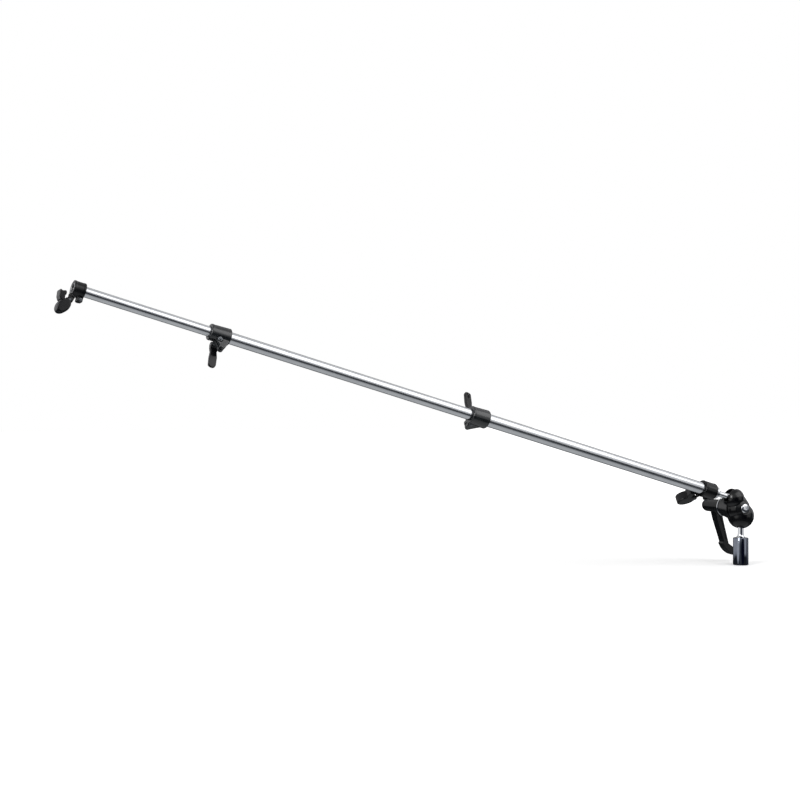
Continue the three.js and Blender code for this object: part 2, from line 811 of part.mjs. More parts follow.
// A cam lever about its pin, closed: it hangs down, with the collar at its +Y side.
function lockLever(length, pinHole) {
  const round = leverPaddleHalf;
  const back = camOffset - camRadius;
  const side = [
    [back, camRadius / 2],
    [back, -camRadius],
    [back - leverBend / 2, -length / 2],
    [back - leverBend, -length + round / 2],
    [back - leverBend + leverThickness / 2, -length],
    [back - leverBend + leverThickness, -length + round / 2],
    [back + leverThickness, -length / 2],
    [back + leverThickness * 1.2, -camRadius],
    [back + leverThickness * 1.2, camRadius / 2],
  ];
  const front = [
    [cheekHalfWidth, camRadius + camOffset],
    [-cheekHalfWidth, camRadius + camOffset],
    [-cheekHalfWidth, -camRadius],
    [-leverNeckHalf, -length * 0.3],
    [-leverPaddleHalf, -length * 0.55],
    ...arc([0, -length + round], leverPaddleHalf, 180, 360, 8),
    [leverPaddleHalf, -length * 0.55],
    [leverNeckHalf, -length * 0.3],
    [cheekHalfWidth, -camRadius],
  ];
  const cam = rod(camRadius, -cheekHalfWidth, cheekHalfWidth, "x").translate([0, camOffset, 0]);
  const arm = plate(side, -cheekHalfWidth, cheekHalfWidth, "x");
  const deep = leverThickness * 4;
  const body = joined(cam, arm).intersect(plate(front, -deep, deep, "y"));
  const clear = eyeRadius + runGap;
  const slotHalf = eyeHalfWidth + runGap;
  const turning = rod(clear, -slotHalf, slotHalf, "x");
  const slot = block([-slotHalf, 0, -clear], [slotHalf, deep, clear]);
  const upper = block([-slotHalf, -deep, 0], [slotHalf, deep, deep]);
  return cut(body, turning, slot, upper, pinHole);
}

// A sprung clip about X. Its collar ends at X 0, and its jaw hangs below and ahead of it.
function rimClip({ name, tip, length, turn, blade, wide, reach, droop }, tubeRadius) {
  const radius = tubeRadius + clipWall;
  const group = new THREE.Group();
  group.position.x = tip;
  group.rotation.x = radians(turn);
  const add = (part, solid, material) => group.add(piece(`${name}_${part}`, solid, material));
  const hinge = [hingeAhead, -radius - hingeDrop];
  const atHinge = (solid) => solid.translate([hinge[0], 0, hinge[1]]);
  const pinHole = atHinge(rod(jawPinRadius + runGap, -radius * 2, radius * 2, "y", smallSides));

  const barrel = chamferedRod(radius, clipChamfer, -length, 0, "x");
  const lugPoints = [
    ...arc(hinge, lugRadius, 0, -180, 8),
    [hinge[0] - lugNeckLength, -radius * 0.8],
    [-clipChamfer, -radius * 0.8],
    [-clipChamfer, -radius - lugDrop],
    [hinge[0] + lugRadius / 2, -radius - lugDrop],
  ];
  const lugs = [-1, 1].map((sign) => {
    const [from, to] = [sign * lugInner, sign * lugOuter].sort((a, b) => a - b);
    return plate(lugPoints, from, to, "y");
  });
  const jawPlate = block(
    [-padThickness * 3, -padHalfWidth - clipChamfer, -radius - padDrop - clipChamfer],
    [0, padHalfWidth + clipChamfer, -tubeRadius],
  );
  const ears = block(
    [-length, -clipEarHalfDepth, -radius - clipEarDrop],
    [-length + clipEarLength, clipEarHalfDepth, -tubeRadius],
  );
  const bore = rod(tubeRadius + runGap, -length - cutOver, cutOver, "x", bigSides);
  const slit = block(
    [-length - cutOver, -clipSlitWidth / 2, -radius - clipEarDrop - cutOver],
    [-lugNeckLength, clipSlitWidth / 2, 0],
  );
  const screwPlace = [-length + clipEarLength / 2, 0, -radius - clipEarDrop / 2];
  const atScrew = (solid) => solid.translate(screwPlace);
  const screwHole = rod(clipScrewRadius + runGap, -radius, radius, "y", smallSides);
  const body = cut(
    joined(barrel, ...lugs, jawPlate, ears),
    bore,
    slit,
    pinHole,
    atScrew(screwHole),
  );
  add("collar", body, blackPlastic);

  const headFace = clipEarHalfDepth + seatGap;
  const head = rod(clipScrewHeadRadius, headFace, headFace + clipScrewHeadHeight, "y", smallSides);
  const nutFace = -headFace - clipNutHeight;
  const shank = rod(clipScrewRadius, nutFace - seatGap, headFace + seatGap, "y", smallSides);
  const deep = headFace + clipScrewHeadHeight / 2;
  const drive = rod(clipScrewRadius, deep, headFace + clipScrewHeadHeight + cutOver, "y", hexSides);
  add("screw", atScrew(cut(joined(head, shank), drive)), steel);
  const nut = rod(clipNutRadius, nutFace, -headFace, "y", hexSides);
  add("nut", atScrew(cut(nut, screwHole)), steel);

  const padLow = -radius - padDrop;
  const padHigh = padLow + padHeight;
  const fixedPad = block(
    [seatGap, -padHalfWidth, padLow],
    [seatGap + padThickness, padHalfWidth, padHigh],
  );
  add("pad", fixedPad, rubber);

  const pin = rod(jawPinRadius, -jawHalfWidth - seatGap, jawHalfWidth + seatGap, "y", smallSides);
  add("pin", atHinge(pin), steel);

  const coilPoints = coil(jawCoilRadius, jawCurls, jawPitch, 90);
  add("spring", atHinge(jawSpring(name, coilPoints)), steel);

  const jaw = atHinge(jawLever(blade, wide, reach, droop));
  const saddle = rod(tubeRadius + 2 * runGap, -length, 3 * hornThickness, "x", bigSides);
  add("jaw", cut(jaw, pinHole, saddle), blackPlastic);
  const faceX = jawGap - seatGap;
  const movingPad = block(
    [faceX - padThickness, -padHalfWidth, padLow],
    [faceX, padHalfWidth, padHigh],
  );
  add("jaw_pad", movingPad, rubber);
  return group;
}

// The torsion spring on a jaw's pin, with a leg off each end of its coil.
function jawSpring(name, points) {
  const leg = (end, next) => {
    const along = end.clone().sub(next);
    along.y = 0;
    return end.clone().add(along.normalize().multiplyScalar(jawSpringLeg));
  };
  const first = leg(points[0], points[1]);
  const last = leg(points[points.length - 1], points[points.length - 2]);
  return spring(`${name}_spring`, [first, ...points, last], jawSpringWire);
}

// A jaw about its pin: a horn that rises ahead of the collar, and a thumb paddle below.
function jawLever(blade, wide, reach, droop) {
  const face = jawGap - hingeAhead;
  const outer = face + hornThickness;
  const horn = [
    [0, -jawKnuckleRadius],
    [outer * 0.8, -jawKnuckleRadius * 0.9],
    [outer * 0.95, jawKnuckleRadius * 0.2],
    [outer, hornHeight * 0.75],
    [outer * 0.97, hornHeight],
    [outer * 0.78, hornHeight - hornDip],
    [(face + outer) * 0.45, hornHeight - hornDip * 0.6],
    [face, hornHeight],
    [face, 0],
    [face - jawKnuckleRadius / 2, -jawKnuckleRadius / 3],
    [0, jawKnuckleRadius * 0.6],
  ];
  const along = [Math.cos(radians(droop)), -Math.sin(radians(droop))];
  const paddle = [];
  const steps = 20;
  for (let i = 0; i < steps; i += 1) {
    const angle = (2 * Math.PI * i) / steps;
    const ahead = reach + blade * Math.cos(angle);
    const aside = wide * Math.sin(angle);
    paddle.push([ahead * along[0] - aside * along[1], ahead * along[1] + aside * along[0]]);
  }
  const half = jawHalfWidth;
  const knuckle = arc([0, 0], jawKnuckleRadius, 0, 360, midSides).slice(0, -1);
  const body = joined(
    plate(horn, -half, half, "y", jawRound / 3),
    plate(paddle, -half, half, "y", jawRound),
    plate(knuckle, -half, half, "y", jawRound / 3),
  );
  const inner = lugOuter + runGap;
  return cut(body, rod(jawClearRadius, -inner, inner, "y"));
}

// Assembly
const arm = new THREE.Group();
arm.add(
  upperStud(),
  endPlug(),
  tube("outer_tube", outerTubeRadius, outerTubeWall, outerTubeStart, outerTubeEnd),
  bush("middle_bush", outerBore, middleBore, middleTubeStart),
  tube("middle_tube", middleTubeRadius, middleTubeWall, middleTubeStart, middleTubeEnd),
  bush("inner_bush", middleBore, innerBore, innerTubeStart),
  tube("inner_tube", innerTubeRadius, innerTubeWall, innerTubeStart, innerTubeEnd),
  tipPlug(),
  tubeLock(outerLock, outerTubeRadius, middleTubeRadius),
  tubeLock(middleLock, middleTubeRadius, innerTubeRadius),
  rimClip(nearClip, outerTubeRadius),
  rimClip(farClip, innerTubeRadius),
);
arm.rotation.set(0, radians(-armRise), Math.PI, "ZYX");

const head = new THREE.Group();
head.position.z = lowerBallHeight;
head.rotation.y = radians(-headLean);
head.add(...housingHalves());

const boltAxis = new THREE.Group();
boltAxis.position.z = boltHeight;
boltAxis.rotation.y = radians(headLean);
boltAxis.add(
  clampBolt(),
  housingSpring(),
  clampWasher(),
  leverInsert(),
  leverScrew(),
  leverSpring(),
  leverHandle(),
  leverCap(),
);
head.add(boltAxis);

const lowerBall = flattedBall("lower_ball");
lowerBall.position.z = lowerBallHeight;
const upperBall = flattedBall("upper_ball");
const upperCentre = new THREE.Group();
upperCentre.position.z = ballSpacing;
upperCentre.rotation.y = radians(headLean);
upperBall.rotation.y = Math.PI / 2 + radians(armRise);
upperCentre.add(upperBall, arm);
head.add(upperCentre);

const holderArm = new THREE.Group();
holderArm.add(spigotSocket(), socketScrew(), lowerStud(), lowerBall, head);

export default holderArm;
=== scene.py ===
import math

import bpy
from mathutils import Matrix, Vector


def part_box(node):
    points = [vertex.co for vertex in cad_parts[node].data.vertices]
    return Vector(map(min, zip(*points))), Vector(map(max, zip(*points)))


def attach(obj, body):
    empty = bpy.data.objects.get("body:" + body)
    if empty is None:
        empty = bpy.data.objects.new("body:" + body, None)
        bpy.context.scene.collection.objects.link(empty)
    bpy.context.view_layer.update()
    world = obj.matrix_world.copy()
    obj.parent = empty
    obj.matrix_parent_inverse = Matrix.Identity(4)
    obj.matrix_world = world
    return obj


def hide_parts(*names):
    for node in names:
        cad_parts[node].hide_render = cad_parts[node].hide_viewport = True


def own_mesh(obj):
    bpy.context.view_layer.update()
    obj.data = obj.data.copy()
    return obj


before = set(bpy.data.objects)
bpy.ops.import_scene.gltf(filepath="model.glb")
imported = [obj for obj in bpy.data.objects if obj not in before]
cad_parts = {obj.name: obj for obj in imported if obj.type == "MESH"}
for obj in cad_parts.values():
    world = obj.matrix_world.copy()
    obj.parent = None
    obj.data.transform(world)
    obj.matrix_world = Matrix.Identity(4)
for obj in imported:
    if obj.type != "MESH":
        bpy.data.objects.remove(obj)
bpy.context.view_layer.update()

# Pieces are modelled in millimetres, each in the frame of what carries it, and then settled in the
# common frame, which is in metres.
MM = 0.001
SEAT = 0.3  # clear space between pieces that sit on each other
PAST = 2  # how far a cut runs past the face that it opens

bpy.context.scene.view_settings.view_transform = "Standard"

# ---------------------------------------------------------------- camera

camera = bpy.data.objects.new("camera", bpy.data.cameras.new("camera"))
bpy.context.scene.collection.objects.link(camera)
bpy.context.scene.camera = camera
camera.data.sensor_width = 36
camera.data.lens = 67.5
camera.location = (-1.8622, -2.1752, 0.3064)
camera.rotation_euler = (math.pi / 2, 0, math.radians(-27.77))

# ---------------------------------------------------------------- modelling


def deselect():
    if bpy.context.object and bpy.context.object.mode != "OBJECT":
        bpy.ops.object.mode_set(mode="OBJECT")
    bpy.ops.object.select_all(action="DESELECT")


def only(piece):
    deselect()
    piece.select_set(True)
    bpy.context.view_layer.objects.active = piece


def turn_by(piece, matrix):
    """Moves a piece by a matrix and applies it to the mesh."""
    only(piece)
    piece.matrix_world = matrix
    bpy.ops.object.transform_apply(location=True, rotation=True, scale=True)
    return piece


def modify(piece, kind, **settings):
    """Adds a modifier, sets it and applies it."""
    only(piece)
    modifier = piece.modifiers.new(kind.lower(), kind)
    for name, value in settings.items():
        setattr(modifier, name, value)
    bpy.ops.object.modifier_apply(modifier=modifier.name)
    return piece


def thread(points, closed=False):
    """Extrudes one vertex from point to point, and stays in edit mode."""
    deselect()
    bpy.ops.mesh.primitive_plane_add(size=1, location=(0, 0, 0))
    bpy.ops.object.mode_set(mode="EDIT")
    bpy.ops.mesh.select_all(action="SELECT")
    bpy.ops.mesh.merge(type="CENTER")
    places = [Vector(point) for point in points]
    bpy.ops.transform.translate(value=places[0])
    if closed:
        places.append(places[0])
    for here, there in zip(places, places[1:]):
        bpy.ops.mesh.extrude_region_move(TRANSFORM_OT_translate={"value": there - here})
    bpy.ops.mesh.select_all(action="SELECT")
    if closed:
        bpy.ops.mesh.remove_doubles(threshold=0.001)
        bpy.ops.mesh.select_all(action="SELECT")
    return bpy.context.object


# How a shape made along Z lies along another axis. A plate's outline is then [x, z] or [y, z].
PLATE_ALONG = {
    "X": Matrix(((0, 0, 1, 0), (1, 0, 0, 0), (0, 1, 0, 0), (0, 0, 0, 1))),
    "Y": Matrix(((1, 0, 0, 0), (0, 0, -1, 0), (0, 1, 0, 0), (0, 0, 0, 1))),
}
LATHE_ALONG = {
    "X": PLATE_ALONG["X"],
    "Y": Matrix(((1, 0, 0, 0), (0, 0, 1, 0), (0, -1, 0, 0), (0, 0, 0, 1))),
}


def turned(profile, axis="Z", sides=72):
    """Spins a profile of [radius, place] about an axis, as on a lathe."""
    closed = profile[0] == profile[-1]
    line = profile[:-1] if closed else profile
    piece = thread([(radius, 0, place) for radius, place in line], closed)
    bpy.ops.mesh.spin(steps=sides, angle=2 * math.pi, center=(0, 0, 0), axis=(0, 0, 1))
    bpy.ops.mesh.select_all(action="SELECT")
    bpy.ops.mesh.remove_doubles(threshold=0.001)
    bpy.ops.mesh.select_all(action="SELECT")
    bpy.ops.mesh.normals_make_consistent(inside=False)
    bpy.ops.object.mode_set(mode="OBJECT")
    return turn_by(piece, LATHE_ALONG[axis]) if axis in LATHE_ALONG else piece


def rod(radius, low, high, axis, sides=48):
    return turned([(0, low), (radius, low), (radius, high), (0, high)], axis, sides)


def plate(outline, low, high, axis="Z", round_by=0.0):
    """Fills an outline, extrudes it along an axis and rounds its edges."""
    start = -high if axis == "Y" else low
    piece = thread([(a, b, start) for a, b in outline], closed=True)
    bpy.ops.mesh.edge_face_add()
    bpy.ops.mesh.extrude_region_move(TRANSFORM_OT_translate={"value": (0, 0, high - low)})
    bpy.ops.mesh.select_all(action="SELECT")
    bpy.ops.mesh.normals_make_consistent(inside=False)
    bpy.ops.object.mode_set(mode="OBJECT")
    if axis in PLATE_ALONG:
        turn_by(piece, PLATE_ALONG[axis])
    if round_by:
        soften(piece, round_by)
    return piece


def block(low, high, round_by=0.0):
    corners = [(low[0], low[1]), (high[0], low[1]), (high[0], high[1]), (low[0], high[1])]
    return plate(corners, low[2], high[2], "Z", round_by)


def soften(piece, width):
    """Rounds the edges that are sharper than an angle."""
    modify(piece, "BEVEL", width=width, segments=3, limit_method="ANGLE",
           angle_limit=math.radians(32), use_clamp_overlap=True)


def ball(radius, place=(0, 0, 0)):
    deselect()
    bpy.ops.mesh.primitive_uv_sphere_add(segments=64, ring_count=32, radius=radius)
    return turn_by(bpy.context.object, Matrix.Translation(place))


def shift(piece, place):
    return turn_by(piece, Matrix.Translation(place))


def combine(piece, operation, *tools):
    for tool in tools:
        modify(piece, "BOOLEAN", operation=operation, object=tool, solver="EXACT")
        bpy.data.objects.remove(tool)
    return piece


def cut(piece, *tools):
    return combine(piece, "DIFFERENCE", *tools)


def union(piece, *others):
    return combine(piece, "UNION", *others)


def melt(piece, grid, passes=6):
    """Remeshes a joined form and smooths it, so that its edges run together as in a casting."""
    modify(piece, "REMESH", mode="VOXEL", voxel_size=grid)
    modify(piece, "SMOOTH", factor=0.5, iterations=passes)
    return piece


def smooth_line(stations, steps=20):
    """Points on a smooth line through stations, each with the same count of numbers."""
    ends = [stations[0]] + list(stations) + [stations[-1]]
    line = []
    for i in range(len(stations) - 1):
        a, b, c, d = (Vector(ends[i + k]) for k in range(4))
        for k in range(steps):
            t = k / steps
            line.append(0.5 * (2 * b + (c - a) * t + (2 * a - 5 * b + 4 * c - d) * t * t
                               + (3 * b - a - 3 * c + d) * t ** 3))
    line.append(Vector(stations[-1]))
    return line


def ribbon(stations, steps=6):
    """The outline of a bar of changing width: stations are [x, z, half width]."""
    line = smooth_line(stations, steps)
    left, right = [], []
    for i, here in enumerate(line):
        ahead = line[min(i + 1, len(line) - 1)] - line[max(i - 1, 0)]
        side = Vector((-ahead.y, ahead.x)).normalized() * here.z
        left.append((here.x + side.x, here.y + side.y))
        right.insert(0, (here.x - side.x, here.y - side.y))
    return right + left


def arc(centre, radius, start, end, steps):
    points = []
    for i in range(steps + 1):
        angle = math.radians(start + (end - start) * i / steps)
        points.append((centre[0] + radius * math.cos(angle), centre[1] + radius * math.sin(angle)))
    return points


def wire(points, radius):
    """A round wire along points: the line is made a curve, given its thickness and made a mesh."""
    piece = thread(points)
    bpy.ops.object.mode_set(mode="OBJECT")
    bpy.ops.object.convert(target="CURVE")
    curve = bpy.context.object
    curve.data.bevel_depth = radius
    curve.data.bevel_resolution = 3
    curve.data.use_fill_caps = True
    bpy.ops.object.convert(target="MESH")
    bpy.ops.object.mode_set(mode="EDIT")
    bpy.ops.mesh.select_all(action="SELECT")
    bpy.ops.mesh.remove_doubles(threshold=0.001)
    bpy.ops.object.mode_set(mode="OBJECT")
    return bpy.context.object


def coil(radius, turns, pitch, start=0.0, a_turn=24):
    points = []
    for i in range(round(turns * a_turn) + 1):
        angle = math.radians(start) + 2 * math.pi * i / a_turn
        along = pitch * i / a_turn - pitch * turns / 2
        points.append((radius * math.cos(angle), along, radius * math.sin(angle)))
    return points


# ---------------------------------------------------------------- frames

LOWER_BALL = 91.4  # height of the lower ball's centre
UPPER_BALL = 36  # from the lower ball's centre to the upper one's
BOLT_PLACE = 16.5  # from the lower ball's centre to the line of the clamp bolt
HEAD_LEAN = math.radians(27)
ARM_RISE = math.radians(15.6)
SCREW_HEIGHT = 17
SCREW_TURN = math.radians(-40)

head = Matrix.Translation((0, 0, LOWER_BALL * MM)) @ Matrix.Rotation(-HEAD_LEAN, 4, "Y")
bolt_axis = Matrix.Translation(head @ Vector((0, 0, BOLT_PLACE * MM)))
arm = Matrix.Translation(head @ Vector((0, 0, UPPER_BALL * MM))) @ Matrix(
    (
        (-math.cos(ARM_RISE), 0, math.sin(ARM_RISE), 0),
        (0, -1, 0, 0),
        (math.sin(ARM_RISE), 0, math.cos(ARM_RISE), 0),
        (0, 0, 0, 1),
    )
)
ground = Matrix.Identity(4)
side_screw = Matrix.Translation((0, 0, SCREW_HEIGHT * MM)) @ Matrix.Rotation(SCREW_TURN, 4, "Z")


def along_arm(place, turn=0.0):
    """A frame on the arm, at a place in millimetres and turned about the tubes."""
    slid = arm @ Matrix.Translation((place * MM, 0, 0))
    return slid @ Matrix.Rotation(math.radians(turn), 4, "X")


def settle(piece, name, where, body, finish, *nodes):
    """Puts a finished piece in its place, and gives it its name, finish and body."""
    turn_by(piece, where @ Matrix.Scale(MM, 4))
    only(piece)
    bpy.ops.object.mode_set(mode="EDIT")
    bpy.ops.mesh.select_all(action="SELECT")
    bpy.ops.mesh.normals_make_consistent(inside=False)
    bpy.ops.object.mode_set(mode="OBJECT")
    bpy.ops.object.shade_smooth_by_angle(angle=math.radians(34))
    piece.name = name
    piece.data.name = name
    piece.data.materials.clear()
    piece.data.materials.append(finish[0])
    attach(piece, body)
    if nodes:
        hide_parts(*nodes)
    return piece


# ---------------------------------------------------------------- materials


def linear(code):
    """An sRGB hex colour as linear red, green, blue and alpha."""
    shares = [int(code[i:i + 2], 16) / 255 for i in (1, 3, 5)]
    return [s / 12.92 if s <= 0.04045 else ((s + 0.055) / 1.055) ** 2.4 for s in shares] + [1.0]


def node(tree, kind, settings=None, inputs=None):
    """Adds a node with its settings, and with values or links for its inputs."""
    made = tree.nodes.new(kind)
    for name, value in (settings or {}).items():
        setattr(made, name, value)
    for name, value in (inputs or {}).items():
        if isinstance(value, bpy.types.NodeSocket):
            tree.links.new(value, made.inputs[name])
        else:
            made.inputs[name].default_value = value
    return made


def ramp_of(tree, source, stops):
    """A colour ramp from a value, with stops of place and hex colour."""
    made = node(tree, "ShaderNodeValToRGB", None, {"Fac": source})
    line = made.color_ramp.elements
    line[0].position, line[0].color = stops[0][0], linear(stops[0][1])
    line[1].position, line[1].color = stops[-1][0], linear(stops[-1][1])
    for place, code in stops[1:-1]:
        line.new(place).color = linear(code)
    return made.outputs["Color"]


def new_finish(name, slot, fixed):
    """A material with its shader, whose plain values are set on the shader's own sockets."""
    material = bpy.data.materials.new(name)
    material.use_nodes = True
    tree = material.node_tree
    tree.nodes.clear()
    shader = node(tree, "ShaderNodeBsdfPrincipled", None, fixed)
    node(tree, "ShaderNodeOutputMaterial", None, {"Surface": shader.outputs["BSDF"]})
    place = node(tree, "ShaderNodeTexCoord").outputs["Object"]
    return (material, slot), tree, shader, place


def noise(tree, place, scale, detail):
    made = node(tree, "ShaderNodeTexNoise", None,
                {"Vector": place, "Scale": scale, "Detail": detail, "Roughness": 0.5})
    return made.outputs["Fac"]


def spread(tree, value, low, high):
    """Maps the middle of a noise onto a range."""
    made = node(tree, "ShaderNodeMapRange", None,
                {"Value": value, "From Min": 0.3, "From Max": 0.7, "To Min": low, "To Max": high})
    return made.outputs["Result"]


def coat(tree, shader, tone, stops, sheen, smooth, rough):
    """Takes the base colour from one noise and the roughness from another."""
    tree.links.new(ramp_of(tree, tone, stops), shader.inputs["Base Color"])
    tree.links.new(spread(tree, sheen, smooth, rough), shader.inputs["Roughness"])


def bump(tree, shader, height, distance, strength):
    made = node(tree, "ShaderNodeBump", None,
                {"Height": height, "Distance": distance, "Strength": strength})
    tree.links.new(made.outputs["Normal"], shader.inputs["Normal"])


# Drawn tube of anodised aluminium, satin and pale: fine draw lines run along it, about 0.6 mm apart
# and many centimetres long, under an even, slightly cloudy oxide.
tube_finish, tree, shader, place = new_finish(
    "anodised_aluminium", "anodised_aluminium", {"Metallic": 1.0})
along = node(tree, "ShaderNodeMapping", None, {
    "Vector": place, "Rotation": (0, -ARM_RISE, 0), "Scale": (0.02, 1, 1)}).outputs["Vector"]
lines = noise(tree, along, 1600, 1.0)
clouds = noise(tree, place, 45, 3.0)
coat(tree, shader, clouds, [(0.3, "#cbcdd0"), (0.7, "#d5d7d9")], lines, 0.19, 0.25)

# Chrome plate, bright and nearly a mirror: faint polishing haze a few millimetres across.
chrome, tree, shader, place = new_finish("chrome_plate", "chrome", {"Metallic": 1.0})
haze = noise(tree, place, 260, 3.0)
coat(tree, shader, haze, [(0.3, "#d9dbde"), (0.7, "#e6e8ea")], haze, 0.05, 0.12)

# Black nickel plate on the turned socket: a dark mirror with the faint rings of the lathe.
black_nickel, tree, shader, place = new_finish(
    "black_nickel_plate", "black_gloss", {"Metallic": 1.0})
rings = node(tree, "ShaderNodeTexWave", {"bands_direction": "Z"},
             {"Vector": place, "Scale": 900.0, "Distortion": 1.2, "Detail": 1.0}).outputs["Fac"]
haze = noise(tree, place, 180, 2.0)
coat(tree, shader, haze, [(0.3, "#7c818c"), (0.7, "#868b96")], rings, 0.07, 0.12)

# Black stove enamel on die-cast zinc: semi-gloss, with the slight orange peel of sprayed paint,
# about 1.5 mm across, and a few thinner, browner spots.
enamel, tree, shader, place = new_finish("black_enamel_on_zinc", "black_gloss",
                                         {"Metallic": 0.0, "Specular IOR Level": 0.4})
peel = noise(tree, place, 650, 2.0)
spots = noise(tree, place, 90, 4.0)
coat(tree, shader, spots, [(0.25, "#040405"), (0.6, "#070709"), (0.8, "#0b0a0a")],
     spots, 0.16, 0.24)
bump(tree, shader, peel, 0.00008, 0.35)

# Glass-filled nylon, injection moulded: dark slate grey with a fine spark-eroded grain, about
# 0.5 mm, and a soft sheen that is uneven where hands polish it.
moulded, tree, shader, place = new_finish("moulded_glass_filled_nylon", "black_plastic",
                                          {"Metallic": 0.0, "Specular IOR Level": 0.75})
grain = noise(tree, place, 2000, 2.0)
polish = noise(tree, place, 70, 3.0)
coat(tree, shader, polish, [(0.3, "#0b0e10"), (0.7, "#111517")], polish, 0.2, 0.28)
bump(tree, shader, grain, 0.00005, 0.4)

# The same plastic in black, for all levers, the clips, the side screw and the thin tube's plug.
black_moulded, tree, shader, place = new_finish("moulded_black_nylon", "black_plastic",
                                                {"Metallic": 0.0, "Specular IOR Level": 0.3})
grain = noise(tree, place, 1800, 2.0)
polish = noise(tree, place, 80, 3.0)
coat(tree, shader, polish, [(0.3, "#060709"), (0.7, "#0b0c0e")], polish, 0.2, 0.28)
bump(tree, shader, grain, 0.00005, 0.4)

# Zinc-plated steel of nuts, bolts, pins and springs, passivated dark: dull grey, slightly mottled.
zinc, tree, shader, place = new_finish("zinc_plated_steel", "zinc_steel", {"Metallic": 1.0})
mottle = noise(tree, place, 500, 3.0)
coat(tree, shader, mottle, [(0.3, "#55585b"), (0.7, "#6b6e71")], mottle, 0.24, 0.4)

# Moulded rubber pads: matt black, with a dusty bloom and a 1 mm grip texture.
rubber, tree, shader, place = new_finish("moulded_rubber", "rubber", {"Metallic": 0.0})
bloom = noise(tree, place, 120, 3.0)
cells = node(tree, "ShaderNodeTexVoronoi", None, {"Vector": place, "Scale": 900.0})
coat(tree, shader, bloom, [(0.3, "#141414"), (0.7, "#1f1f1f")], bloom, 0.7, 0.85)
bump(tree, shader, cells.outputs["Distance"], 0.0002, 0.5)

# Turned brass of the lever's toothed insert, with fine tool marks.
brass, tree, shader, place = new_finish("turned_brass", "brass", {"Metallic": 1.0})
marks = noise(tree, place, 700, 2.0)
coat(tree, shader, marks, [(0.3, "#a98647"), (0.7, "#bd9a58")], marks, 0.25, 0.4)

# Natural nylon of the guide bushes inside the tubes: milky and slightly waxy.
nylon, tree, shader, place = new_finish("natural_nylon", "nylon",
                                        {"Metallic": 0.0, "Subsurface Weight": 0.1})
milk = noise(tree, place, 150, 2.0)
coat(tree, shader, milk, [(0.3, "#d3d1c8"), (0.7, "#dedcd4")], milk, 0.45, 0.6)


# ---------------------------------------------------------------- socket and its screw

STUD_SHANK = 4  # radius of the part of a stud that sits in its hole
KNOB_FLUTES = 12


def spigot_socket():
    bore, outside, height, depth = 8.1, 14.25, 50, 37
    stud_hole = STUD_SHANK + SEAT
    body = turned([
        (bore, 0.9), (9.0, 0), (13.45, 0), (14.05, 0.25), (outside, 0.8), (outside, 49.2),
        (14.05, 49.75), (13.45, height), (stud_hole, height), (stud_hole, 40.7), (0, 40.7),
        (0, depth), (bore, depth), (bore, 0.9)], "Z", 128)
    hole = turn_by(rod(3.3, 9, 20, "Y"), Matrix.Translation((0, 0, SCREW_HEIGHT)) @ Matrix.Rotation(
        SCREW_TURN, 4, "Z"))
    settle(cut(body, hole), "socket", ground, "base", black_nickel, "spigot_socket")


def side_screw_knob():
    lobes = []
    steps = 96
    for i in range(steps):
        angle = 2 * math.pi * i / steps
        radius = 7.2 + 0.35 * math.cos(KNOB_FLUTES * angle)
        lobes.append((radius * math.cos(angle), radius * math.sin(angle)))
    knob = plate(lobes, 14.55, 27.55, "Y", 0.8)
    collar = turned([
        (0, 14.9), (4.6, 14.9), (4.6, 14.6), (3, 14.4), (3, 8.4), (2.4, 8.0), (0, 8.0)], "Y")
    dish = turned([(0, 30), (5, 30), (5, 27.2), (4.4, 26.7), (0, 26.7)], "Y")
    settle(cut(union(knob, collar), dish), "side_screw", side_screw, "side_screw", black_moulded,
           "socket_screw")


# ---------------------------------------------------------------- clamp head

BALL = 10.0
NECK = 5.4
BOLT_HOLE = 2.8
FRONT_FACE = -20.4  # where the clamp bolt's head sits on the housing
SPLIT = 0.3  # half the gap between the housing's two shells
LEVER_TEETH = 12
BALL_FLAT = math.sqrt(BALL ** 2 - NECK ** 2)


def flatted_ball(name, where, body, node_name):
    profile = [(0, -BALL_FLAT)]
    start = -math.degrees(math.acos(NECK / BALL))
    profile += arc((0, 0), BALL, start, 90, 24)[:-1] + [(0, BALL)]
    settle(turned(profile, "Z", 64), name, where, body, chrome, node_name)


def lower_stud():
    top = LOWER_BALL - BALL_FLAT - SEAT
    profile = [(0, 41), (STUD_SHANK, 41), (STUD_SHANK, 50.3), (7.4, 50.3), (8, 50.7), (8, 51.6),
               (7.6, 52.1), (6.3, 53.2), (5.7, 55), (NECK, 57.2), (NECK, top), (0, top)]
    settle(turned(profile, "Z"), "lower_neck", ground, "base", chrome, "lower_stud")


def mouth(half_angle):
    """The slot that a neck swings through, about its ball and opening down."""
    half, reach = NECK + 0.6, 26.5
    outline = []
    low, high = -90 - half_angle, -90 + half_angle
    for angle, sign in ((low, -1), (high, 1)):
        a = math.radians(angle)
        near = (-math.sin(a) * half * sign, math.cos(a) * half * sign)
        far = (near[0] + math.cos(a) * reach, near[1] + math.sin(a) * reach)
        outline += [near, far] if sign < 0 else arc((0, 0), reach, low, high, 12)[1:-1] + [far, near]
    return plate(outline, -half, half, "Y", 1.2)


